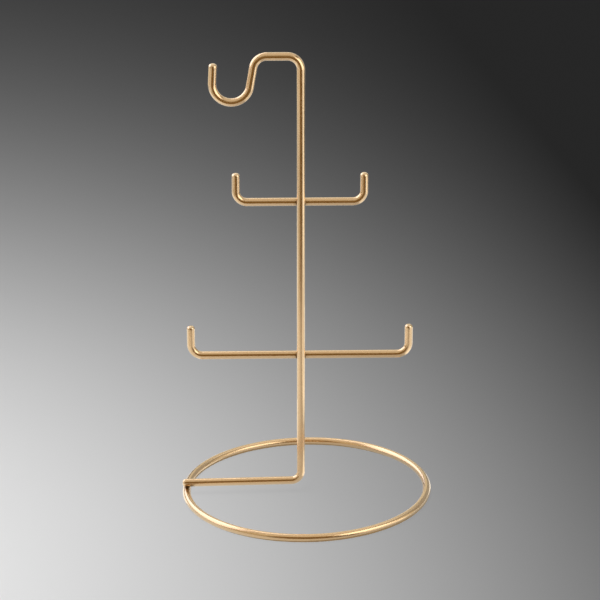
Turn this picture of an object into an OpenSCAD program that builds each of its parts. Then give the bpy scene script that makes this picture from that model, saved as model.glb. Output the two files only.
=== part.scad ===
// Jewellery stand bent from round metal rod, in millimetres.
// A ring lies on the table. One long rod starts as a foot on the ring, turns up into
// the upright, crosses over at the top and ends in an open hook. Two shorter rods with
// upturned ends are welded behind the upright as hanging arms.
// The origin is on the table at the middle of the ring. Z points up, and the arms run along X.

/* [Rod] */
// Diameter of the round rod that the whole stand is bent from
rod_d = 5; // [3:0.5:8]
// Share of the rod's radius that the rounded rim of a cut end takes
end_rim_share = 0.72; // [0.3:0.02:0.96]
// How much the rod's radius shrinks round a bend, where bending stretches it
bend_thinning = 0.01; // [0.005:0.005:0.03]

/* [Base ring] */
// Diameter of the base ring, measured along the middle of its rod
ring_d = 152; // [110:1:240]
// Width of the weld that closes the bent ring, hidden below the foot
ring_weld_w = 1.2; // [0.6:0.1:3]

/* [Upright] */
// Length of the upright, from the middle of the foot's rod to the middle of the crossbar
upright_len = 274.9; // [235:0.1:380]
// Distance from the middle of the ring to the upright's foot, to the left of it
upright_offset = 3.6; // [0:0.1:15]
// Lean of the upright to the right, as its foot bend stops short of a right angle
upright_lean = 0.9; // [0:0.1:3]
// Inner radius of the bend between the foot and the upright
foot_bend_inner = 3.7; // [1:0.1:8]

/* [Crook and hook] */
// Inner radius of the two bends at the ends of the crossbar
crook_bend_inner = 5.6; // [2:0.1:10]
// Straight length of the crossbar between its two bends
crossbar_len = 12.4; // [4:0.1:40]
// Straight length of the leg that runs down from the crossbar to the hook
leg_len = 12.2; // [4:0.1:30]
// Lean of that leg away from the upright
leg_lean = 10; // [0:0.5:20]
// Clear width inside the hook
hook_w = 17.8; // [8:0.1:30]
// Turn of the hook's wide bend
hook_angle = 173; // [150:1:180]
// Straight length of the hook's upturned end
hook_stub_len = 10.1; // [4:0.1:20]

/* [Upper arm] */
// Distance up the upright from the foot to the upper arm
upper_arm_up = 182.7; // [140:0.1:195]
// Reach of the upper arm to the left, from the upright to its upturned end
upper_arm_left = 39.6; // [25:0.1:80]
// Reach of the upper arm to the right
upper_arm_right = 38.8; // [25:0.1:80]
// Inner radius of the upper arm's bends
upper_arm_bend_inner = 4.4; // [2:0.1:10]
// Straight length of the upper arm's upturned ends
upper_arm_stub_len = 9.6; // [4:0.1:20]

/* [Lower arm] */
// Distance up the upright from the foot to the lower arm
lower_arm_up = 83; // [45:0.1:125]
// Reach of the lower arm to the left, from the upright to its upturned end
lower_arm_left = 68.3; // [40:0.1:100]
// Reach of the lower arm to the right
lower_arm_right = 67.3; // [40:0.1:100]
// Inner radius of the lower arm's bends
lower_arm_bend_inner = 4.8; // [2:0.1:10]
// Straight length of the lower arm's upturned ends
lower_arm_stub_len = 10.4; // [4:0.1:20]

/* [Welds] */
// Thickness of the weld metal where two crossing rods come closest
weld_root = 0.2; // [0.15:0.05:0.6]
// Width of a weld bead between two crossing rods
weld_w = 6.4; // [4:0.2:8]
// Fine gap left between a weld bead and the rods that it joins
weld_seat = 0.03; // [0.01:0.01:0.05]

/* [Hidden] */

// Facets round the rod and round the whole base ring
rod_facets = 72;
ring_facets = 360;
$fn = rod_facets;

// How far the rod's straights reach into its bends
lap = 0.02;

rod_colour = [0.80, 0.63, 0.40];
weld_colour = [0.72, 0.55, 0.33];

rod_r = rod_d / 2;
ring_r = ring_d / 2;
end_rim = rod_r * end_rim_share;
ring_weld_angle = ring_weld_w / ring_r * 180 / PI;

// Two crossing rods lie this far apart, from axis to axis
crossing = rod_d + weld_root;

// The foot lies on the ring and ends flush with the ring's outer edge
foot_angle = 180;
foot_z = rod_r + crossing;
foot_to_edge = ring_r + rod_r - upright_offset;

// How much of the foot and of the upright each bend takes up
foot_bend_share = tan((90 - upright_lean) / 2);
foot_bend_reach = (foot_bend_inner + rod_r) * foot_bend_share;
crook_bend_reach = crook_bend_inner + rod_r;

// How the upright rod is bent, from the foot's free end to the tip of the hook.
// Each row is a straight length, a turn of the bending plane, a bend and its inner radius.
UPRIGHT_BENDS = [
    [foot_to_edge - end_rim - foot_bend_reach, 0, 90 - upright_lean, foot_bend_inner],
    [upright_len - foot_bend_reach - crook_bend_reach, 0, 90, crook_bend_inner],
    [crossbar_len, 0, 90 - leg_lean, crook_bend_inner],
    [leg_len, 180, hook_angle, hook_w / 2],
    [hook_stub_len, 0, 0, 0]
];

// How an arm is bent, from the left tip to the right tip
function arm_bends(left, right, bend_inner, stub_len) = [
    [stub_len, 0, 90, bend_inner],
    [left + right - 2 * (bend_inner + rod_r), 0, 90, bend_inner],
    [stub_len, 0, 0, 0]
];

// Cut end of a rod, with a rounded rim, standing on the plane z = 0
module rod_end() {
    rotate_extrude()
        intersection() {
            union() {
                square([rod_r - end_rim, end_rim]);
                translate([rod_r - end_rim, 0])
                    circle(r = end_rim);
            }
            square([rod_r, end_rim]);
        }
}

// Part of a round bend that starts along Z and curves towards X
module rod_bend(angle, inner) {
    bend_r = inner + rod_r;
    translate([bend_r, 0, 0])
        rotate([90, 0, 180])
            rotate_extrude(angle = angle)
                translate([bend_r, 0])
                    circle(r = rod_r - bend_thinning);
}

// The rest of a bent rod, from one row of its list of bends to the last
module rod_run(bends, row) {
    straight = bends[row][0];
    plane_turn = bends[row][1];
    angle = bends[row][2];
    inner = bends[row][3];
    bend_r = inner + rod_r;
    is_last = row == len(bends) - 1;
    lap_before = row == 0 ? 0 : lap;
    lap_after = is_last ? 0 : lap;
    translate([0, 0, -lap_before])
        cylinder(r = rod_r, h = lap_before + straight + lap_after);
    translate([0, 0, straight])
        if (is_last) {
            rod_end();
        } else {
            rotate([0, 0, plane_turn]) {
                rod_bend(angle, inner);
                translate([bend_r * (1 - cos(angle)), 0, bend_r * sin(angle)])
                    rotate([0, angle, 0])
                        rod_run(bends, row + 1);
            }
        }
}

// A whole bent rod, from the rounded rim of its first end
module bent_rod(bends) {
    translate([0, 0, end_rim])
        rod_run(bends, 0);
    translate([0, 0, end_rim])
        mirror([0, 0, 1])
            rod_end();
}

// Stretch of the base ring, centred on an angle
module ring_stretch(middle, angle) {
    translate([0, 0, rod_r])
        rotate([0, 0, middle - angle / 2])
            rotate_extrude(angle = angle, $fn = ring_facets)
                translate([ring_r, 0])
                    circle(r = rod_r, $fn = rod_facets);
}

// Places what the upright carries, at a distance up its leaning rod from the foot
module on_upright(up) {
    translate([-upright_offset, 0, foot_z])
        rotate([0, upright_lean, 0])
            translate([0, 0, up])
                children();
}

// Rod with upturned ends that crosses behind the upright
module arm(left, right, bend_inner, stub_len) {
    tip = bend_inner + rod_r + stub_len + end_rim;
    translate([-left, crossing, tip])
        rotate([180, 0, 0])
            bent_rod(arm_bends(left, right, bend_inner, stub_len));
}

// Bead of weld metal in the corners between the upright and an arm that crosses behind it
module arm_weld() {
    difference() {
        rotate([-90, 0, 0])
            cylinder(d = weld_w, h = crossing);
        translate([0, 0, -weld_w])
            cylinder(r = rod_r + weld_seat, h = 2 * weld_w);
        translate([-weld_w, crossing, 0])
            rotate([0, 90, 0])
                cylinder(r = rod_r + weld_seat, h = 2 * weld_w);
    }
}

// Ring that the stand rests on, bent from one rod, open only at its weld
module base_ring() {
    color(rod_colour)
        ring_stretch(foot_angle + 180, 360 - ring_weld_angle);
}

// Weld between the two ends of the ring's rod, dressed flush with it
module ring_butt_weld() {
    color(weld_colour)
        ring_stretch(foot_angle, ring_weld_angle);
}

// The long rod: foot, upright, crossbar, leaning leg and hook
module upright_rod() {
    color(rod_colour)
        translate([-upright_offset - foot_to_edge, 0, foot_z])
            rotate([0, 90, 0])
                rotate([0, 0, 180])
                    bent_rod(UPRIGHT_BENDS);
}

// Weld bead between the ring and the foot that lies on it, flush with the ring's outer edge
module foot_weld() {
    color(weld_colour)
        intersection() {
            difference() {
                translate([-ring_r, 0, rod_r])
                    cylinder(d = weld_w, h = crossing);
                translate([0, 0, rod_r])
                    rotate_extrude($fn = ring_facets)
                        translate([ring_r, 0])
                            circle(r = rod_r + weld_seat, $fn = rod_facets);
                translate([-upright_offset, 0, foot_z])
                    rotate([0, -90, 0])
                        cylinder(r = rod_r + weld_seat, h = foot_to_edge + weld_w);
            }
            cylinder(r = ring_r + rod_r, h = foot_z, $fn = ring_facets);
        }
}

// Shorter hanging arm, high on the upright
module upper_arm() {
    color(rod_colour)
        on_upright(upper_arm_up)
            arm(upper_arm_left, upper_arm_right, upper_arm_bend_inner, upper_arm_stub_len);
}

// Weld bead between the upright and the upper arm
module upper_arm_weld() {
    color(weld_colour)
        on_upright(upper_arm_up)
            arm_weld();
}

// Longer hanging arm, low on the upright
module lower_arm() {
    color(rod_colour)
        on_upright(lower_arm_up)
            arm(lower_arm_left, lower_arm_right, lower_arm_bend_inner, lower_arm_stub_len);
}

// Weld bead between the upright and the lower arm
module lower_arm_weld() {
    color(weld_colour)
        on_upright(lower_arm_up)
            arm_weld();
}

base_ring();
ring_butt_weld();
upright_rod();
foot_weld();
upper_arm();
upper_arm_weld();
lower_arm();
lower_arm_weld();
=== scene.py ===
"""A jewellery stand of bent round rod in satin gold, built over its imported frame.

Lengths are in metres, in the frame's own axes. The origin is on the table at the middle of the base
ring, Z points up, the arms run along X, and Y points away from the front.
"""

import logging
import math
from collections.abc import Callable
from dataclasses import dataclass, field
from enum import Enum

import bmesh
import bpy
from mathutils import Matrix, Vector


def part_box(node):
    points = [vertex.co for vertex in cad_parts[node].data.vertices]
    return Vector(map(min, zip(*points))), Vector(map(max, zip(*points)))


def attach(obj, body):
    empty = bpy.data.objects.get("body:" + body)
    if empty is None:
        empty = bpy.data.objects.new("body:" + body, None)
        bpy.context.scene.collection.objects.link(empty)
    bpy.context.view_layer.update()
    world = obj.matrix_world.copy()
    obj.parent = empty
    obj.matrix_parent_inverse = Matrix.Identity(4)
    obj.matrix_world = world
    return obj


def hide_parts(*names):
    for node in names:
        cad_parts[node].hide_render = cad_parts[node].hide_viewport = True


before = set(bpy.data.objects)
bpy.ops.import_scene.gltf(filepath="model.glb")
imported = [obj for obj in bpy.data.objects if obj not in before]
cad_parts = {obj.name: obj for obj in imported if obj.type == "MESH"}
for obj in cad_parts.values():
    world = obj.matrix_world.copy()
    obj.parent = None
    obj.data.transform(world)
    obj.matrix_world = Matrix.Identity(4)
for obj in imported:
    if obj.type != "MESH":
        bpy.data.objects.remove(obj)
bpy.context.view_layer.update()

LOG = logging.getLogger("jewellery_stand")
MM = 0.001

Colour = tuple[float, float, float, float]


class Slot(Enum):
    """The record's material slots."""

    ROD = "satin_gold_rod"
    WELD = "satin_gold_weld"


class Layer(Enum):
    """Vertex attributes that the skins of rods and beads carry for their finish."""

    DRAWN = "drawn"
    RIM = "rim"
    HEAT = "heat"
    # CREASE is the mask for painted shade in the creases between parts.
    CREASE = "crease"


@dataclass(frozen=True)
class Bend:
    """One row of a bending sheet: a straight, a turn of the bending plane, then a bend.

    Angles are in radians, and inner is the bend's inner radius.
    """

    straight: float
    angle: float = 0.0
    inner: float = 0.0
    plane_turn: float = 0.0


def creased(gap: float, reach: float) -> float:
    """How much painted shade a crease holds at a distance from the metal across it."""
    return math.exp(-((max(gap, 0.0) / reach) ** 2))


class RodBender:
    """Feeds round rod forward and bends it, and keeps its skin as a bmesh.

    The rod's front face lies across the Z axis of the matrix at. Each bend turns Z towards X.
    CUT_FACE_RIM is how much the flat of a cut end counts as rim, SWELL_SHARE the part of a bend
    over which its flattening grows, and MARKED_REACHES how many heat reaches a weld's marks go.
    """

    FACETS = 56
    RIM_STEPS = 9
    FEED_STEP = 1.2 * MM
    CUT_FACE_RIM = 0.6
    SWELL_SHARE = 0.25
    MARKED_REACHES = 4.0

    def __init__(self, radius: float, start: Matrix, bend_step: float = math.radians(2.5),
                 flattening: float = 0.012) -> None:
        """Sets up the bender.

        Args:
            radius: The rod's radius.
            start: The place of the rod's first face.
            bend_step: The angle of a bend between two rings of the skin.
            flattening: The share by which a bend flattens the rod.
        """
        self.mesh = bmesh.new()
        self.drawn = self.mesh.verts.layers.float_vector.new(Layer.DRAWN.value)
        self.rim = self.mesh.verts.layers.float.new(Layer.RIM.value)
        self.heat = self.mesh.verts.layers.float.new(Layer.HEAT.value)
        # crease is the mask for painted shade, darker where the skin runs close to another rod.
        self.crease = self.mesh.verts.layers.float.new(Layer.CREASE.value)
        self.radius = radius
        self.bend_step = bend_step
        self.flattening = flattening
        self.at = start.copy()
        self.run = 0.0
        self.roll = 0.0
        self.squeeze = 1.0
        self.edge_loop: list[bmesh.types.BMEdge] = []
        self.sections: list[tuple[Vector, list[bmesh.types.BMVert]]] = []

    def _mark(self, verts: list[bmesh.types.BMVert], rim: float) -> None:
        """Writes on a ring of the skin where it lay before the rod was bent.

        Args:
            verts: The ring's vertices.
            rim: How much the ring belongs to the rounded rim of a cut end, from 0 to 1.
        """
        into_rod = Matrix.Rotation(self.roll, 4, "Z") @ self.at.inverted()
        for vert in verts:
            vert[self.drawn] = into_rod @ vert.co + Vector((0.0, 0.0, self.run))
            vert[self.rim] = rim
        self.sections.append((self.at.translation.copy(), verts))

    def _advance(self, step: Matrix, length: float, scale: float = 1.0, squeeze: float = 1.0,
                 rim: float = 0.0) -> None:
        """Extrudes the front edge loop by one step.

        Args:
            step: The move, in the front face's own axes.
            length: How far the middle of the rod moves.
            scale: The new ring's size over the last one's.
            squeeze: How far the new ring's section is drawn in towards the bend, where 1 is round.
            rim: How much the new ring belongs to a rounded rim.
        """
        grown = bmesh.ops.extrude_edge_only(self.mesh, edges=self.edge_loop)["geom"]
        verts = [item for item in grown if isinstance(item, bmesh.types.BMVert)]
        shape = Matrix.Diagonal((scale * squeeze / self.squeeze, scale, 1.0, 1.0))
        bmesh.ops.transform(self.mesh, matrix=self.at @ step @ shape @ self.at.inverted(), verts=verts)
        self.edge_loop = [item for item in grown if isinstance(item, bmesh.types.BMEdge)]
        self.at = self.at @ step
        self.run += length
        self.squeeze = squeeze
        self._mark(verts, rim)

    def _round_rim(self, last_radius: float, profile: Callable[[float], tuple[float, float, float]]) -> None:
        """Extrudes the front edge loop along the rounded rim of a cut end.

        Args:
            last_radius: The front edge loop's radius.
            profile: Gives the radius, the depth and the rim mask at a turn of the rounding.
        """
        last_depth = 0.0
        for i in range(1, self.RIM_STEPS + 1):
            radius, depth, rim = profile(math.pi / 2 * i / self.RIM_STEPS)
            self._advance(Matrix.Translation((0.0, 0.0, depth - last_depth)), depth - last_depth,
                          scale=radius / last_radius, rim=rim)
            last_radius, last_depth = radius, depth

    def start_end(self, rim_radius: float) -> None:
        """Starts the skin with a cut end whose rim is rounded.

        Args:
            rim_radius: The radius of the rounded rim.
        """
        flat = self.radius - rim_radius
        made = bmesh.ops.create_circle(
            self.mesh, cap_ends=True, cap_tris=True, segments=self.FACETS, radius=flat, matrix=self.at)
        self._mark(made["verts"], self.CUT_FACE_RIM)
        self.edge_loop = [edge for edge in self.mesh.edges if edge.is_boundary]
        self._round_rim(flat, lambda turn: (
            flat + rim_radius * math.sin(turn), rim_radius * (1.0 - math.cos(turn)), math.cos(turn / 2)))

    def finish_end(self, rim_radius: float) -> None:
        """Closes the skin with a cut end whose rim is rounded.

        Args:
            rim_radius: The radius of the rounded rim.
        """
        flat = self.radius - rim_radius
        self._round_rim(self.radius, lambda turn: (
            flat + rim_radius * math.cos(turn), rim_radius * math.sin(turn),
            math.sin(turn / 2 + math.pi / 4) ** 2))
        bmesh.ops.contextual_create(self.mesh, geom=self.edge_loop)

    def feed(self, length: float) -> None:
        """Pushes a straight length of rod forward.

        Args:
            length: The straight's length.
        """
        steps = max(1, round(length / self.FEED_STEP))
        for _ in range(steps):
            self._advance(Matrix.Translation((0.0, 0.0, length / steps)), length / steps)

    def bend(self, angle: float, inner: float, plane_turn: float = 0.0) -> None:
        """Bends the rod, whose section flattens a little on the way round.

        Args:
            angle: The angle of the bend.
            inner: The bend's inner radius.
            plane_turn: How far the bending plane turns about the rod first.
        """
        self.at = self.at @ Matrix.Rotation(plane_turn, 4, "Z")
        self.roll += plane_turn
        middle = inner + self.radius
        steps = max(2, round(angle / self.bend_step))
        centre = Matrix.Translation((middle, 0.0, 0.0))
        step = centre @ Matrix.Rotation(angle / steps, 4, "Y") @ centre.inverted()
        for i in range(1, steps + 1):
            swell = min(1.0, min(i, steps - i) / (steps * self.SWELL_SHARE))
            self._advance(step, middle * angle / steps, squeeze=1.0 - self.flattening * swell)

    def follow(self, sheet: list[Bend]) -> None:
        """Feeds and bends the rod as a bending sheet says.

        Args:
            sheet: The rows of the sheet, in order.
        """
        for row in sheet:
            self.feed(row.straight)
            if row.angle:
                self.bend(row.angle, row.inner, row.plane_turn)

    def weld(self, spot: Vector, gap: Callable[[Vector], float], heat_reach: float,
             crease_reach: float) -> None:
        """Marks what a weld to another rod leaves on the skin, and the painted shade of its crease.

        Args:
            spot: Where the weld lies, on this rod's middle line.
            gap: Gives a point's distance from the other rod's skin.
            heat_reach: How far the heat shows along the rod.
            crease_reach: How wide the gap to the other rod is where the painted shade fades.
        """
        for middle, verts in self.sections:
            away = (middle - spot).length
            if away > self.MARKED_REACHES * heat_reach:
                continue
            heat = math.exp(-((away / heat_reach) ** 2))
            for vert in verts:
                vert[self.heat] = max(vert[self.heat], heat)
                vert[self.crease] = max(vert[self.crease], creased(gap(vert.co), crease_reach))

    def piece(self, name: str) -> bpy.types.Object:
        """Turns the skin into a piece of the scene.

        Args:
            name: The piece's name.

        Returns:
            The new object, with smooth faces that point outwards.
        """
        bmesh.ops.recalc_face_normals(self.mesh, faces=self.mesh.faces)
        return mesh_piece(name, self.mesh)


def mesh_piece(name: str, built: bmesh.types.BMesh) -> bpy.types.Object:
    """Makes a smooth-shaded object from a bmesh, and frees the bmesh.

    Args:
        name: The object's name.
        built: The finished bmesh.

    Returns:
        The new object, at the origin.
    """
    for face in built.faces:
        face.smooth = True
    mesh = bpy.data.meshes.new(name)
    built.to_mesh(mesh)
    built.free()
    piece = bpy.data.objects.new(name, mesh)
    bpy.context.scene.collection.objects.link(piece)
    return piece


class ShaderTree:
    """A shorthand for adding and joining shader nodes.

    MIX_INPUTS are a colour Mix node's sockets for its share and its two colours, and MIX_OUTPUT
    is the one for its result.
    """

    MIX_INPUTS = (0, 6, 7)
    MIX_OUTPUT = 2

    def __init__(self, tree: bpy.types.NodeTree) -> None:
        """Keeps the node tree to build in."""
        self.tree = tree

    def add(self, kind: str, inputs: dict | None = None, **settings: object) -> bpy.types.Node:
        """Adds one node.

        Args:
            kind: The node's type, without its ShaderNode prefix.
            inputs: Values, or sockets to link from, by input name or index.
            settings: The node's own settings.

        Returns:
            The new node.
        """
        node = self.tree.nodes.new("ShaderNode" + kind)
        for key, value in settings.items():
            setattr(node, key, value)
        for key, value in (inputs or {}).items():
            if isinstance(value, bpy.types.NodeSocket):
                self.tree.links.new(value, node.inputs[key])
            else:
                node.inputs[key].default_value = value
        return node

    def math(self, operation: str, *values: object) -> bpy.types.NodeSocket:
        """Adds a Math node and returns its output."""
        return self.add("Math", dict(enumerate(values)), operation=operation).outputs[0]

    def spread(self, value: bpy.types.NodeSocket, low: float, high: float) -> bpy.types.NodeSocket:
        """Adds a Map Range node that spreads 0..1 to low..high, and returns its output."""
        return self.add("MapRange", {"Value": value, "To Min": low, "To Max": high}).outputs["Result"]

    def mix_colour(self, share: bpy.types.NodeSocket, first: object, second: object) -> bpy.types.NodeSocket:
        """Adds a colour Mix node.

        Args:
            share: The share of the second colour.
            first: The first colour, or a socket to link it from.
            second: The second colour, or a socket to link it from.

        Returns:
            The mixed colour's socket.
        """
        inputs = dict(zip(self.MIX_INPUTS, (share, first, second)))
        return self.add("Mix", inputs, data_type="RGBA").outputs[self.MIX_OUTPUT]


def start_material(name: str) -> tuple[bpy.types.Material, ShaderTree]:
    """Makes an empty material.

    Args:
        name: The material's name.

    Returns:
        The material, and the tree to build it in.
    """
    material = bpy.data.materials.new(name)
    material.use_nodes = True
    material.node_tree.nodes.clear()
    return material, ShaderTree(material.node_tree)


def effect_group(name: str, inputs: dict[str, tuple[str, float | None]], outputs: list[str]) -> tuple:
    """Starts a shader node group.

    Args:
        name: The group's name.
        inputs: The kind and the first value of each input, by name.
        outputs: The names of its outputs, all plain values.

    Returns:
        The group, its builder, its input sockets by name, and its output node.
    """
    group = bpy.data.node_groups.new(name, "ShaderNodeTree")
    for label, (kind, value) in inputs.items():
        socket = group.interface.new_socket(name=label, in_out="INPUT", socket_type="NodeSocket" + kind)
        if value is not None:
            socket.default_value = value
    for label in outputs:
        group.interface.new_socket(name=label, in_out="OUTPUT", socket_type="NodeSocketFloat")
    start = group.nodes.new("NodeGroupInput")
    end = group.nodes.new("NodeGroupOutput")
    return group, ShaderTree(group), start.outputs, end


def grain_group() -> bpy.types.NodeTree:
    """Builds the fine grain of drawn and tumbled metal.

    Returns:
        A group that puts out Lines, the fine marks along the rod, Haze, their soft patches, and
        Pits, sparse tiny dents.
    """
    group, tree, given, end = effect_group(
        "Drawn grain",
        {"Vector": ("Vector", None), "Across": ("Float", 2600.0), "Along": ("Float", 90.0)},
        ["Lines", "Haze", "Pits"])
    stretch = tree.add("CombineXYZ", {"X": given["Across"], "Y": given["Across"], "Z": given["Along"]})
    place = tree.add("VectorMath", {0: given["Vector"], 1: stretch.outputs[0]}, operation="MULTIPLY")
    lines = tree.add("TexNoise", {"Vector": place.outputs[0], "Scale": 1.0, "Detail": 5.0, "Roughness": 0.62})
    haze = tree.add("TexNoise", {"Vector": given["Vector"], "Scale": 210.0, "Detail": 4.0, "Roughness": 0.55})
    spots = tree.add("TexVoronoi", {"Vector": given["Vector"], "Scale": 520.0}, feature="F1")
    pits = tree.add("MapRange", {"Value": spots.outputs["Distance"], "From Min": 0.05, "From Max": 0.16,
                                 "To Min": 1.0, "To Max": 0.0})
    group.links.new(lines.outputs["Fac"], end.inputs["Lines"])
    group.links.new(haze.outputs["Fac"], end.inputs["Haze"])
    group.links.new(pits.outputs["Result"], end.inputs["Pits"])
    return group


def rub_group() -> bpy.types.NodeTree:
    """Builds the rubbing that brightens rims and the marks that welding leaves.

    Returns:
        A group that breaks up a plain mask into a natural one, put out as Worn.
    """
    group, tree, given, end = effect_group(
        "Rubbed patch",
        {"Vector": ("Vector", None), "Mask": ("Float", 0.0), "Breakup": ("Float", 0.5)},
        ["Worn"])
    noise = tree.add("TexNoise", {"Vector": given["Vector"], "Scale": 900.0, "Detail": 3.0})
    rough_edge = tree.math("MULTIPLY", tree.math("SUBTRACT", noise.outputs["Fac"], 0.5), given["Breakup"])
    soft = tree.math("ADD", given["Mask"], tree.math("MULTIPLY", rough_edge, given["Mask"]))
    group.links.new(tree.add("Clamp", {"Value": soft}).outputs[0], end.inputs["Worn"])
    return group


@dataclass
class Coat:
    """The sockets that a coat is shaded from: its colour, its roughness and its relief."""

    shade: bpy.types.NodeSocket
    matt: bpy.types.NodeSocket
    height: bpy.types.NodeSocket


@dataclass(frozen=True)
class SatinGold:
    """Satin gold coat.

    Colours are linear. The coat is colour or deep where it is seen head on. A painted sheen turns it
    pale towards its outline, wholly so from pale_from on, and painted shade darkens it in creases.
    roughness runs from the smooth places to the matt ones, and streak is how far the lines of the
    grain vary it. relief is the height of the grain, pit_depth the depth of its dents as a share of
    that, and crease_breakup how ragged the creases are.
    """

    name: str
    colour: Colour = (0.88, 0.60, 0.33, 1.0)
    deep: Colour = (0.84, 0.55, 0.28, 1.0)
    # pale is a painted sheen: the colour towards the outline that stands in for bright grazing reflections.
    pale: Colour = (0.93, 0.74, 0.50, 1.0)
    # The near-black colour of the painted shade in the creases between parts.
    painted_crease_shade: Colour = (0.10, 0.055, 0.02, 1.0)
    roughness: tuple[float, float] = (0.18, 0.28)
    streak: float = 0.10
    relief: float = 0.0035 * MM
    pit_depth: float = 0.6
    pale_from: float = 0.8
    crease_breakup: float = 0.6

    def build(self, grain: bpy.types.NodeTree, rub: bpy.types.NodeTree) -> bpy.types.Material:
        """Builds the material.

        Args:
            grain: The drawn grain group.
            rub: The rubbed patch group.

        Returns:
            The material.
        """
        material, tree = start_material(self.name)
        place = self._place(tree)
        marks = tree.add("Group", {"Vector": place}, node_tree=grain).outputs
        # Painted sheen: the coat turns pale towards its outline, as grazing reflections would brighten it.
        facing = tree.add("LayerWeight", {"Blend": 0.5}).outputs["Facing"]
        outline = tree.add("MapRange", {"Value": facing, "From Max": self.pale_from}).outputs["Result"]

        shade = tree.mix_colour(marks["Haze"], self.colour, self.deep)
        shade = tree.mix_colour(outline, shade, self.pale)
        streaks = tree.math("MULTIPLY", tree.math("SUBTRACT", marks["Lines"], 0.5), self.streak)
        matt = tree.math("ADD", tree.spread(marks["Haze"], *self.roughness), streaks)
        height = tree.math("ADD", marks["Lines"], tree.math("MULTIPLY", marks["Pits"], -self.pit_depth))
        coat = Coat(shade, matt, height)
        self._wear(tree, rub, coat)

        bump = tree.add("Bump", {"Strength": 1.0, "Distance": self.relief, "Height": coat.height})
        metal = tree.add("BsdfPrincipled", {"Base Color": coat.shade, "Metallic": 1.0, "Roughness": coat.matt,
                                            "Normal": bump.outputs["Normal"]})
        tree.add("OutputMaterial", {"Surface": metal.outputs["BSDF"]})
        return material

    def _place(self, tree: ShaderTree) -> bpy.types.NodeSocket:
        """Where a point of the skin lies, for the grain."""
        return tree.add("TexCoord").outputs["Object"]

    def _wear(self, tree: ShaderTree, rub: bpy.types.NodeTree, coat: Coat) -> None:
        """Darkens the creases with painted shade.

        Args:
            tree: The material's tree.
            rub: The rubbed patch group.
            coat: The coat, which is changed.
        """
        # Painted shade: creases are mixed towards a near-black colour, where shade falls between the parts.
        crease = self._patch(tree, rub, Layer.CREASE, self.crease_breakup)
        coat.shade = tree.mix_colour(crease, coat.shade, self.painted_crease_shade)

    def _patch(self, tree: ShaderTree, rub: bpy.types.NodeTree, layer: Layer,
               breakup: float) -> bpy.types.NodeSocket:
        """Breaks up one of the skin's masks.

        Args:
            tree: The material's tree.
            rub: The rubbed patch group.
            layer: The mask's attribute.
            breakup: How ragged the patch is.

        Returns:
            The broken-up mask.
        """
        mask = tree.add("Attribute", attribute_name=layer.value).outputs["Fac"]
        inputs = {"Vector": self._place(tree), "Mask": mask, "Breakup": breakup}
        return tree.add("Group", inputs, node_tree=rub).outputs["Worn"]


@dataclass(frozen=True)
class RodGold(SatinGold):
    """The coat on a rod, whose grain follows the rod round its bends.

    Cut ends are rubbed bright, by rubbed_share of the rubbed colour and rubbed_gloss less
    roughness. The rod is dressed by hand round its welds, which makes it rougher by dressed_matt
    and raises it by dressed_relief, in heights of the grain. The breakups say how ragged the
    rubbed rims and the dressed places are.
    """

    rubbed: Colour = (0.94, 0.75, 0.52, 1.0)
    dressed: Colour = (0.90, 0.68, 0.46, 1.0)
    rubbed_share: float = 0.35
    rubbed_gloss: float = 0.03
    rim_breakup: float = 0.9
    dressed_matt: float = 0.10
    dressed_relief: float = 80.0
    heat_breakup: float = 0.7

    def _place(self, tree: ShaderTree) -> bpy.types.NodeSocket:
        """Where a point lay on the rod before it was bent."""
        return tree.add("Attribute", attribute_name=Layer.DRAWN.value).outputs["Vector"]

    def _wear(self, tree: ShaderTree, rub: bpy.types.NodeTree, coat: Coat) -> None:
        """Rubs the rims, dresses the rod round its welds, then paints shade into the creases.

        Args:
            tree: The material's tree.
            rub: The rubbed patch group.
            coat: The coat, which is changed.
        """
        rim = self._patch(tree, rub, Layer.RIM, self.rim_breakup)
        heat = self._patch(tree, rub, Layer.HEAT, self.heat_breakup)
        coat.shade = tree.mix_colour(heat, coat.shade, self.dressed)
        coat.shade = tree.mix_colour(tree.math("MULTIPLY", rim, self.rubbed_share), coat.shade, self.rubbed)
        coat.matt = tree.math("ADD", coat.matt, tree.math("MULTIPLY", heat, self.dressed_matt))
        coat.matt = tree.math("SUBTRACT", coat.matt, tree.math("MULTIPLY", rim, self.rubbed_gloss))
        coat.height = tree.math("ADD", coat.height, tree.math("MULTIPLY", heat, self.dressed_relief))
        super()._wear(tree, rub, coat)


@dataclass
class Stock:
    """The round rod that the stand is bent from. Its radius is measured on the base ring's node."""

    radius: float = field(default_factory=lambda: (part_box("base_ring")[1][2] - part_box("base_ring")[0][2]) / 2)
    rim_share: float = 0.72
    weld_root: float = 0.2 * MM

    @property
    def rim(self) -> float:
        """Radius of the rounded rim of a cut end."""
        return self.radius * self.rim_share

    @property
    def crossing(self) -> float:
        """Distance between the middles of two crossing rods."""
        return 2 * self.radius + self.weld_root


@dataclass(frozen=True)
class Crossing:
    """Where two rods cross and are welded.

    The first rod's middle line runs along the Y axis of the place, and the second one's along X,
    as high up Z as rise.
    """

    place: Matrix
    rise: float
    radius: float

    @property
    def first_spot(self) -> Vector:
        """The weld's spot on the first rod's middle line."""
        return self.place.translation

    @property
    def second_spot(self) -> Vector:
        """The weld's spot on the second rod's middle line."""
        return self.place @ Vector((0.0, 0.0, self.rise))

    def gap_to_first(self, point: Vector) -> float:
        """Distance of a point from the first rod's skin."""
        spot = self.place.inverted() @ point
        return math.hypot(spot.x, spot.z) - self.radius

    def gap_to_second(self, point: Vector) -> float:
        """Distance of a point from the second rod's skin."""
        spot = self.place.inverted() @ point
        return math.hypot(spot.y, spot.z - self.rise) - self.radius


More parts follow.
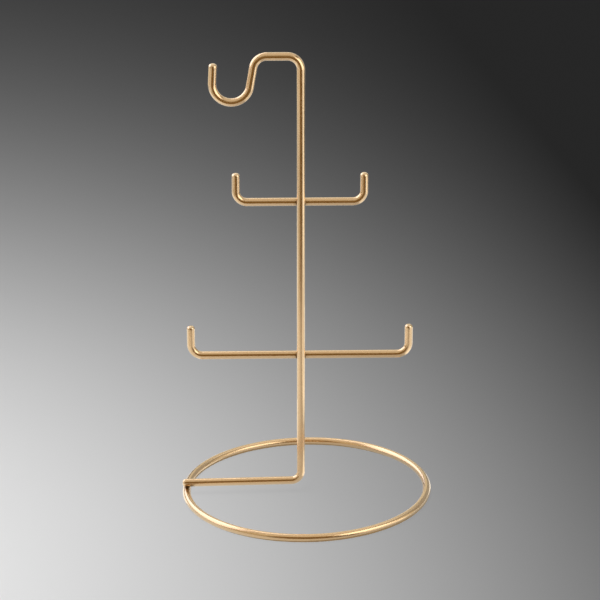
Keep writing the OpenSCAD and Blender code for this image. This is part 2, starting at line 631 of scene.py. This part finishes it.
@dataclass
class WeldBead:
    """A small barrel of weld metal between two crossing rods, from one middle line to the other.

    Its ripples run up the barrel and sway on the way, through ripple_sways half waves of
    ripple_sway radians.
    """

    name: str
    node: str
    crossing: Crossing
    half_width: float = 3.15 * MM
    half_depth: float = 3.15 * MM
    waist_share: float = 0.74
    ripples: int = 14
    ripple_height: float = 0.07 * MM
    ripple_sway: float = 2.2
    ripple_sways: float = 3.0
    crease_reach: float = 1.6 * MM

    STEPS = 96
    PROFILE_POINTS = 25
    SQUARENESS = 2.6
    BARREL_SHARE = 0.84
    MERGE_DISTANCE = 0.001 * MM

    def build(self) -> bpy.types.Object:
        """Spins the bead's profile, ripples its skin and marks its creases for painted shade.

        Returns:
            The bead.
        """
        built = bmesh.new()
        crease = built.verts.layers.float.new(Layer.CREASE.value)
        height = self.crossing.rise
        tip = bmesh.ops.create_vert(built, co=self._profile(0.0, height))["vert"]
        for i in range(1, self.PROFILE_POINTS):
            tip = bmesh.ops.extrude_vert_indiv(built, verts=tip)["verts"]
            tip[0].co = self._profile(i / (self.PROFILE_POINTS - 1), height)
        bmesh.ops.spin(built, geom=built.verts[:] + built.edges[:], cent=(0, 0, 0), axis=(0, 0, 1),
                       angle=2 * math.pi, steps=self.STEPS, use_merge=True)
        bmesh.ops.remove_doubles(built, verts=built.verts, dist=self.MERGE_DISTANCE)
        for vert in built.verts:
            vert.co += vert.co.xy.to_3d().normalized() * self._ripple(vert.co, height)
        bmesh.ops.scale(built, vec=(1.0, self.half_depth / self.half_width, 1.0), verts=built.verts)
        bmesh.ops.transform(built, matrix=self.crossing.place, verts=built.verts)
        # The crease mask says where painted shade darkens the bead next to the rods.
        for vert in built.verts:
            gap = min(self.crossing.gap_to_first(vert.co), self.crossing.gap_to_second(vert.co))
            vert[crease] = creased(gap, self.crease_reach)
        bmesh.ops.recalc_face_normals(built, faces=built.faces)
        return mesh_piece(self.name, built)

    def _profile(self, share: float, height: float) -> Vector:
        """One point of the bead's profile.

        Args:
            share: How far along the profile the point is, from 0 to 1.
            height: The bead's whole height.

        Returns:
            The point, in the plane that is spun.
        """
        if share in (0.0, 1.0):
            return Vector((0.0, 0.0, share * height))
        off_middle = 2.0 * share - 1.0
        bulge = (1.0 - abs(off_middle) ** self.SQUARENESS) ** (1.0 / self.SQUARENESS)
        radius = self.half_width * (self.waist_share + (1.0 - self.waist_share) * bulge)
        return Vector((radius, 0.0, height * (1.0 + self.BARREL_SHARE * off_middle) / 2))

    def _ripple(self, point: Vector, height: float) -> float:
        """How far the ripples move a point of the skin outwards.

        Args:
            point: The point, on the bead before it is placed.
            height: The bead's whole height.

        Returns:
            The move, which is never above zero.
        """
        around = self.ripples * math.atan2(point.y, point.x)
        up = point.z / height
        swell = 1.0 - abs(2.0 * up - 1.0)
        sway = self.ripple_sway * math.sin(self.ripple_sways * up * math.pi)
        return self.ripple_height * (swell * math.sin(around + sway) - 1.0)


@dataclass
class BaseRing:
    """The ring that the stand rests on, with its closing weld.

    step is the angle between two rings of its skin. The weld's own skin is bent in seam_steps.
    """

    stock: Stock
    step: float = math.radians(1.0)
    weld_width: float = 1.2 * MM
    heat_reach: float = 2.4 * MM
    crease_reach: float = 0.7 * MM
    end_rim: float = 0.12 * MM
    bead_inset: float = 0.4 * MM
    weld_dip: float = 0.03 * MM
    seam_steps: int = 16

    @property
    def outer(self) -> float:
        """The ring's outer radius, from its node."""
        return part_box("base_ring")[1][1]

    @property
    def middle(self) -> float:
        """Radius of the circle along the middle of the rod."""
        return self.outer - self.stock.radius

    @property
    def foot_crossing(self) -> Crossing:
        """Where the foot crosses the ring, a little inside the ring's middle line."""
        place = Matrix.Translation((self.bead_inset - self.middle, 0.0, self.stock.radius))
        return Crossing(place, self.stock.crossing, self.stock.radius)

    def _start(self, angle: float) -> Matrix:
        """Where the rod lies at an angle about the ring's middle.

        Args:
            angle: The angle.

        Returns:
            The place, with Z heading on round the ring and X towards the ring's middle.
        """
        spot = Vector((self.middle * math.cos(angle), self.middle * math.sin(angle), self.stock.radius))
        forward = Vector((-math.sin(angle), math.cos(angle), 0.0))
        inwards = Vector((-math.cos(angle), -math.sin(angle), 0.0))
        side = forward.cross(inwards)
        turn = Matrix((inwards, side, forward)).transposed().to_4x4()
        return Matrix.Translation(spot) @ turn

    def build(self) -> list[bpy.types.Object]:
        """Bends the ring and lays the weld between its ends.

        Returns:
            The ring and its weld.
        """
        gap = self.weld_width / self.middle
        trimmed = self.end_rim / self.middle
        start = self._start(math.pi + gap / 2 + trimmed) @ Matrix.Translation((0.0, 0.0, -self.end_rim))
        ring = RodBender(self.stock.radius, start, self.step, flattening=0.0)
        ring.start_end(self.end_rim)
        ring.bend(2 * math.pi - gap - 2 * trimmed, self.middle - self.stock.radius)
        ring.finish_end(self.end_rim)

        seam = RodBender(self.stock.radius - self.weld_dip, self._start(math.pi - gap),
                         2 * gap / self.seam_steps, flattening=0.0)
        seam.start_end(self.end_rim)
        seam.bend(2 * gap, self.middle - self.stock.radius + self.weld_dip)
        seam.finish_end(self.end_rim)
        for rod in (ring, seam):
            rod.weld(self.foot_crossing.first_spot, self.foot_crossing.gap_to_second, self.heat_reach,
                     self.crease_reach)
        return [ring.piece("base_ring_rod"), seam.piece("base_ring_seam")]


@dataclass
class Upright:
    """The long rod that is foot, upright, crossbar, leg and hook in one."""

    stock: Stock
    ring: BaseRing
    length: float = 274.9 * MM
    offset: float = 3.6 * MM
    lean: float = math.radians(0.9)
    foot_inner: float = 3.7 * MM
    crook_inner: float = 5.6 * MM
    crossbar: float = 12.4 * MM
    leg: float = 12.2 * MM
    leg_lean: float = math.radians(10.0)
    hook_width: float = 17.8 * MM
    hook_turn: float = math.radians(173.0)
    hook_stub: float = 10.1 * MM
    heat_reach: float = 3.2 * MM
    foot_crease_reach: float = 2.3 * MM
    crease_reach: float = 1.6 * MM

    @property
    def foot_height(self) -> float:
        """Height of the middle of the foot, which lies on the ring."""
        return self.stock.radius + self.stock.crossing

    def at(self, up: float) -> Matrix:
        """Place on the upright, with Z along it.

        Args:
            up: Distance up the upright from the foot.

        Returns:
            The place, leaning as the upright does.
        """
        foot = Matrix.Translation((-self.offset, 0.0, self.foot_height))
        return foot @ Matrix.Rotation(self.lean, 4, "Y") @ Matrix.Translation((0.0, 0.0, up))

    def sheet(self) -> list[Bend]:
        """Writes the rod's bending sheet.

        Returns:
            The sheet, from the foot's free end to the hook's tip.
        """
        foot = self.ring.outer - self.offset
        foot_reach = (self.foot_inner + self.stock.radius) * math.tan((math.pi / 2 - self.lean) / 2)
        crook_reach = self.crook_inner + self.stock.radius
        return [
            Bend(foot - self.stock.rim - foot_reach, math.pi / 2 - self.lean, self.foot_inner),
            Bend(self.length - foot_reach - crook_reach, math.pi / 2, self.crook_inner),
            Bend(self.crossbar, math.pi / 2 - self.leg_lean, self.crook_inner),
            Bend(self.leg, self.hook_turn, self.hook_width / 2, math.pi),
            Bend(self.hook_stub),
        ]

    def build(self, arm_crossings: list[Crossing]) -> bpy.types.Object:
        """Bends the rod.

        Args:
            arm_crossings: Where the arms cross the rod.

        Returns:
            The rod.
        """
        start = Matrix.Translation((-self.ring.outer, 0.0, self.foot_height))
        heading = Matrix.Rotation(math.pi / 2, 4, "Y") @ Matrix.Rotation(math.pi, 4, "Z")
        rod = RodBender(self.stock.radius, start @ heading)
        rod.start_end(self.stock.rim)
        rod.follow(self.sheet())
        rod.finish_end(self.stock.rim)
        foot = self.ring.foot_crossing
        rod.weld(foot.second_spot, foot.gap_to_first, self.heat_reach, self.foot_crease_reach)
        for arm in arm_crossings:
            rod.weld(arm.first_spot, arm.gap_to_second, self.heat_reach, self.crease_reach)
        return rod.piece("upright_rod_bent")


@dataclass
class Arm:
    """A hanging arm with upturned ends, welded behind the upright."""

    stock: Stock
    upright: Upright
    name: str
    up: float
    left: float
    right: float
    inner: float
    stub: float
    heat_reach: float = 3.2 * MM
    crease_reach: float = 1.6 * MM

    @property
    def crossing(self) -> Crossing:
        """Where the arm crosses the upright."""
        place = self.upright.at(self.up) @ Matrix.Rotation(-math.pi / 2, 4, "X")
        return Crossing(place, self.stock.crossing, self.stock.radius)

    def build(self) -> bpy.types.Object:
        """Bends the arm.

        Returns:
            The arm's rod.
        """
        reach = self.inner + self.stock.radius
        tip = reach + self.stub + self.stock.rim
        start = Matrix.Translation((-self.left, self.stock.crossing, tip)) @ Matrix.Rotation(math.pi, 4, "X")
        rod = RodBender(self.stock.radius, self.upright.at(self.up) @ start)
        rod.start_end(self.stock.rim)
        rod.follow([
            Bend(self.stub, math.pi / 2, self.inner),
            Bend(self.left + self.right - 2 * reach, math.pi / 2, self.inner),
            Bend(self.stub),
        ])
        rod.finish_end(self.stock.rim)
        rod.weld(self.crossing.second_spot, self.crossing.gap_to_first, self.heat_reach, self.crease_reach)
        return rod.piece(self.name + "_bent")


class Tone(Enum):
    """How warm a light is, as a colour."""

    COOL = (1.0, 0.95, 1.08)
    WHITE = (1.0, 1.0, 1.0)
    CREAM = (1.0, 0.94, 0.85)
    WARM = (1.0, 0.92, 0.74)


@dataclass(frozen=True)
class SoftBox:
    """A rectangular soft light that the camera doesn't see.

    PATCH_HEIGHT is how far a glow on the floor lies above it.
    """

    name: str
    radiance: float
    size: tuple[float, float]
    place: tuple[float, float, float]
    aim: tuple[float, float, float] = (0.0, 0.0, 0.0)
    tone: Tone = Tone.WHITE

    PATCH_HEIGHT = 0.4 * MM

    @classmethod
    def wall(cls, name: str, radiance: float, bearing: float, distance: float, width: float, bottom: float,
             top: float, tone: Tone = Tone.WHITE) -> "SoftBox":
        """A soft box that stands upright and faces the stand.

        Args:
            name: The light's name.
            radiance: How bright it looks.
            bearing: Its direction from the stand in degrees, 0 in front and 90 on the right.
            distance: Its distance from the stand.
            width: Its width.
            bottom: The height of its lower edge.
            top: The height of its upper edge.
            tone: How warm it is.

        Returns:
            The soft box.
        """
        turn = math.radians(bearing)
        middle = (bottom + top) / 2
        place = (distance * math.sin(turn), -distance * math.cos(turn), middle)
        return cls(name, radiance, (width, top - bottom), place, (0.0, 0.0, middle), tone)

    @classmethod
    def floor_patch(cls, name: str, radiance: float, size: tuple[float, float], x: float,
                    y: float) -> "SoftBox":
        """A soft box that lies on the floor and faces straight up.

        Args:
            name: The light's name.
            radiance: How bright it looks.
            size: Its width and depth.
            x: The place of its middle, to the right.
            y: The place of its middle, to the back.

        Returns:
            The soft box.
        """
        return cls(name, radiance, size, (x, y, cls.PATCH_HEIGHT), (x, y, 1.0))

    def build(self, lit: bpy.types.Collection) -> bpy.types.Object:
        """Hangs the light.

        Args:
            lit: What the light falls on.

        Returns:
            The light.
        """
        data = bpy.data.lights.new(self.name, "AREA")
        data.shape = "RECTANGLE"
        data.energy = self.radiance * math.pi * self.size[0] * self.size[1]
        data.size, data.size_y = self.size
        data.color = self.tone.value
        lamp = bpy.data.objects.new(self.name, data)
        lamp.location = self.place
        lamp.rotation_euler = (Vector(self.aim) - Vector(self.place)).to_track_quat("-Z", "Y").to_euler()
        lamp.visible_camera = False
        lamp.light_linking.receiver_collection = lit
        bpy.context.scene.collection.objects.link(lamp)
        return lamp


def show_in_reflections(screen: bpy.types.Object, colour: Colour) -> None:
    """Makes an object glow evenly, and lets only reflections in the rods show it.

    Args:
        screen: The object.
        colour: Its glow.
    """
    material, tree = start_material(screen.name)
    glow = tree.add("Emission", {"Color": colour})
    tree.add("OutputMaterial", {"Surface": glow.outputs["Emission"]})
    screen.data.materials.append(material)
    screen.visible_camera = False
    screen.visible_diffuse = False


@dataclass(frozen=True)
class Board:
    """A softly glowing board that stands on the floor, and that only reflections in the rods show."""

    name: str
    colour: Colour
    bearing: float
    distance: float
    width: float
    height: float

    def build(self) -> None:
        """Stands the board up, facing the stand."""
        built = bmesh.new()
        bmesh.ops.create_grid(built, x_segments=1, y_segments=1, size=0.5)
        turn = Matrix.Rotation(math.radians(self.bearing), 4, "Z")
        place = Matrix.Translation((0.0, -self.distance, self.height / 2))
        upright = Matrix.Rotation(-math.pi / 2, 4, "X")
        spread = Matrix.Diagonal((self.width, self.height, 1.0, 1.0))
        bmesh.ops.transform(built, matrix=turn @ (place @ upright) @ spread, verts=built.verts)
        board = mesh_piece(self.name, built)
        board.visible_shadow = False
        show_in_reflections(board, self.colour)


@dataclass(frozen=True)
class ContactShade:
    """The darkness on the floor right under the base ring, as the ring itself reflects it.

    It lies a little to the front right, away from the strongest light.
    """

    radius: float = 76.0 * MM
    width: float = 4.8 * MM
    height: float = 0.5 * MM
    offset: tuple[float, float] = (1.8 * MM, -0.8 * MM)
    colour: Colour = (0.30, 0.26, 0.20, 1.0)

    def build(self) -> None:
        """Lays a flat ring on the floor."""
        built = bmesh.new()
        inner, outer = self.radius - self.width / 2, self.radius + self.width / 2
        bmesh.ops.create_circle(built, segments=180, radius=inner)
        grown = bmesh.ops.extrude_edge_only(built, edges=built.edges[:])["geom"]
        verts = [item for item in grown if isinstance(item, bmesh.types.BMVert)]
        bmesh.ops.scale(built, vec=(outer / inner, outer / inner, 1.0), verts=verts)
        bmesh.ops.translate(built, vec=(*self.offset, self.height), verts=built.verts)
        show_in_reflections(mesh_piece("contact_shade", built), self.colour)


@dataclass
class Studio:
    """Floor, soft light and camera.

    The lights round the stand fall on the stand only. Two more hang in one place over the left
    front of the floor, which they light less further away, and only the weaker one of them throws
    the stand's shadow. floor_mottle is how bright the floor's darkest spots are, as a share.
    """

    floor_half: float = 4.0
    floor_colour: Colour = (0.80, 0.80, 0.80, 1.0)
    floor_mottle: float = 0.98
    room_light: Colour = (0.025, 0.025, 0.025, 1.0)
    turn: float = math.radians(1.11)
    pitch: float = math.radians(19.375)
    roll: float = math.radians(-0.954)
    distance: float = 1.5
    lens: float = 145.8
    aim: tuple[float, float, float] = (-2.26 * MM, 0.0, 128.54 * MM)
    floor_box_place: tuple[float, float, float] = (-0.233, -0.145, 0.885)
    floor_box_aim: tuple[float, float, float] = (-1.571, -0.288, 0.0)
    floor_radiance: float = 12.1
    floor_box_size: float = 0.6
    shadow_share: float = 0.06
    contact_shade: ContactShade = ContactShade()
    boards: list[Board] = field(default_factory=lambda: [
        Board("front_board", (0.185, 0.112, 0.03, 1.0), -3.0, 0.36, 0.33, 0.40),
        Board("left_front_board", (0.46, 0.42, 0.33, 1.0), -55.0, 0.34, 0.26, 0.12),
    ])
    stand_lights: list[SoftBox] = field(default_factory=lambda: [
        SoftBox("top_box", 0.64, (1.7, 2.0), (0.0, 0.0, 1.3), tone=Tone.CREAM),
        SoftBox("low_top_box", 0.25, (0.6, 0.2), (0.0, 0.22, 0.33), (0.0, 0.0, 0.05)),
        SoftBox.wall("left_wall", 1.62, -118.0, 1.0, 1.9, 0.25, 1.7, Tone.COOL),
        SoftBox.wall("left_back_high_box", 1.45, -168.0, 1.0, 0.35, 1.15, 1.75, Tone.COOL),
        SoftBox.wall("left_low_wall", 0.55, -115.0, 1.0, 1.5, 0.0, 0.25, Tone.WARM),
        SoftBox.wall("left_front_wall", 0.55, -52.0, 1.0, 0.6, 0.0, 1.2, Tone.WARM),
        SoftBox.wall("right_front_box", 1.9, 55.0, 0.45, 0.44, 0.18, 0.62),
        SoftBox.wall("right_front_low_box", 0.85, 66.0, 0.45, 0.40, 0.0, 0.18),
        SoftBox.wall("right_wall", 0.55, 96.0, 1.0, 0.5, 0.0, 1.2, Tone.WARM),
        SoftBox.wall("back_right_wall", 0.34, 138.0, 1.0, 0.9, 0.0, 1.2, Tone.CREAM),
        SoftBox.wall("back_wall", 0.62, 178.0, 1.0, 0.5, 0.0, 1.2, Tone.WARM),
        SoftBox.wall("front_high_wall", 0.36, -5.0, 1.2, 1.4, 0.5, 1.6, Tone.WARM),
        SoftBox.floor_patch("floor_glow", 0.12, (0.9, 0.9), 0.0, 0.12),
        SoftBox.floor_patch("ring_floor_glow", 0.68, (0.055, 0.04), 0.037, 0.0),
        SoftBox.floor_patch("left_edge_glow", 0.6, (0.016, 0.05), -0.087, 0.010),
        SoftBox.floor_patch("left_back_floor_glow", 0.40, (0.22, 0.20), -0.160, 0.135),
        SoftBox.floor_patch("ring_edge_glow", 0.9, (0.018, 0.03), 0.087, 0.014),
        SoftBox.floor_patch("right_near_glow", 0.35, (0.08, 0.2), 0.145, 0.0),
        SoftBox.floor_patch("right_floor_glow", 0.65, (0.64, 0.6), 0.43, 0.0),
        SoftBox.floor_patch("back_floor_glow", 0.30, (0.9, 0.9), 0.0, 0.65),
    ])

    def build(self, stand: list[bpy.types.Object]) -> None:
        """Builds the floor, the lights, the room and the camera.

        Args:
            stand: The pieces of the stand.
        """
        bpy.context.scene.view_settings.view_transform = "Standard"
        self._room()
        self._camera()
        self.contact_shade.build()
        for board in self.boards:
            board.build()
        lit_floor = self._lit("lit_floor", [self._floor()])
        lit_stand = self._lit("lit_stand", stand)
        self._floor_light("floor_box", 1.0 - self.shadow_share, lit_floor).blocker_collection = lit_floor
        self._floor_light("shadow_box", self.shadow_share, lit_floor).blocker_collection = lit_stand
        for piece in stand:
            piece.visible_diffuse = False
        for light in self.stand_lights:
            light.build(lit_stand)

    @staticmethod
    def _lit(name: str, pieces: list[bpy.types.Object]) -> bpy.types.Collection:
        """Gathers what one set of lights falls on.

        Args:
            name: The collection's name.
            pieces: The pieces.

        Returns:
            The collection.
        """
        lit = bpy.data.collections.new(name)
        for piece in pieces:
            lit.objects.link(piece)
        return lit

    def _floor_light(self, name: str, share: float,
                     lit: bpy.types.Collection) -> bpy.types.ObjectLightLinking:
        """Hangs one of the lights over the floor.

        Args:
            name: The light's name.
            share: Its share of the floor's light.
            lit: What it falls on.

        Returns:
            What the light is linked to.
        """
        box = SoftBox(name, self.floor_radiance * share, (self.floor_box_size, self.floor_box_size),
                      self.floor_box_place, self.floor_box_aim)
        return box.build(lit).light_linking

    def _floor(self) -> bpy.types.Object:
        """Lays a plain pale floor.

        Returns:
            The floor.
        """
        built = bmesh.new()
        bmesh.ops.create_grid(built, x_segments=2, y_segments=2, size=self.floor_half)
        floor = mesh_piece("floor", built)
        material, tree = start_material("Pale floor")
        place = tree.add("TexCoord").outputs["Object"]
        mottle = tree.add("TexNoise", {"Vector": place, "Scale": 6.0, "Detail": 4.0})
        darker = tuple(value * self.floor_mottle for value in self.floor_colour[:3]) + (1.0,)
        shade = tree.mix_colour(mottle.outputs["Fac"], self.floor_colour, darker)
        paint = tree.add("BsdfPrincipled", {"Base Color": shade, "Roughness": 0.9, "Specular IOR Level": 0.2})
        tree.add("OutputMaterial", {"Surface": paint.outputs["BSDF"]})
        floor.data.materials.append(material)
        return floor

    def _room(self) -> None:
        """Fills the room with an even dim light."""
        world = bpy.data.worlds.new("Studio room")
        world.use_nodes = True
        world.node_tree.nodes["Background"].inputs["Color"].default_value = self.room_light
        bpy.context.scene.world = world

    def _camera(self) -> None:
        """Sets the camera at the photograph's viewing angle."""
        data = bpy.data.cameras.new("camera")
        data.lens = self.lens
        data.clip_start = 0.05
        camera = bpy.data.objects.new("camera", data)
        around = Matrix.Rotation(-self.turn, 4, "Z")
        tilt = Matrix.Rotation(math.pi / 2 - self.pitch, 4, "X")
        back = Matrix.Translation((0.0, 0.0, self.distance))
        level = Matrix.Rotation(self.roll, 4, "Z")
        camera.matrix_world = Matrix.Translation(self.aim) @ around @ tilt @ back @ level
        bpy.context.scene.collection.objects.link(camera)
        bpy.context.scene.camera = camera


@dataclass
class JewelleryStand:
    """The whole stand: a ring, three bent rods and their welds."""

    stock: Stock = field(default_factory=Stock)

    def __post_init__(self) -> None:
        """Sizes the pieces from the rod."""
        self.pieces: list[bpy.types.Object] = []
        self.ring = BaseRing(self.stock)
        self.upright = Upright(self.stock, self.ring)
        self.arms = [
            Arm(self.stock, self.upright, "upper_arm", up=182.7 * MM, left=39.6 * MM, right=38.8 * MM,
                inner=4.4 * MM, stub=9.6 * MM),
            Arm(self.stock, self.upright, "lower_arm", up=83.0 * MM, left=68.3 * MM, right=67.3 * MM,
                inner=4.8 * MM, stub=10.4 * MM),
        ]

    def build(self) -> list[bpy.types.Object]:
        """Builds, dresses and seats every piece.

        Returns:
            The pieces.
        """
        grain, rub = grain_group(), rub_group()
        rod_finish = RodGold("Satin gold rod").build(grain, rub)
        bead_finish = SatinGold("Satin gold bead", roughness=(0.24, 0.36), relief=0.01 * MM).build(grain, rub)
        ring_rod, ring_seam = self.ring.build()
        self._seat(ring_rod, rod_finish, "base_ring")
        self._seat(ring_seam, rod_finish, "ring_butt_weld")
        upright = self.upright.build([arm.crossing for arm in self.arms])
        self._seat(upright, rod_finish, "upright_rod")
        for arm in self.arms:
            self._seat(arm.build(), rod_finish, arm.name)
        for bead in self._beads():
            self._seat(bead.build(), bead_finish, bead.node)
        return self.pieces

    def _beads(self) -> list[WeldBead]:
        """Lists the weld beads.

        Returns:
            The foot's bead, which is the smallest, and those of the arms.
        """
        foot_bead = WeldBead("foot_bead", "foot_weld", self.ring.foot_crossing, half_width=1.5 * MM,
                             half_depth=1.4 * MM)
        arm_beads = [WeldBead(arm.name + "_bead", arm.name + "_weld", arm.crossing) for arm in self.arms]
        return [foot_bead] + arm_beads

    def _seat(self, piece: bpy.types.Object, finish: bpy.types.Material, node: str) -> None:
        """Dresses one piece and puts it in the place of its node.

        Args:
            piece: The piece.
            finish: Its material.
            node: The node that it stands for.
        """
        piece.data.materials.append(finish)
        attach(piece, "root")
        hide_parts(node)
        self.pieces.append(piece)
        LOG.info("%s stands for %s with %d faces", piece.name, node, len(piece.data.polygons))


def main() -> None:
    """Builds the stand and its studio, and writes how large the result is."""
    logging.basicConfig(level=logging.INFO, format="%(name)s: %(message)s")
    Studio().build(JewelleryStand().build())


if __name__ == "__main__":
    main()
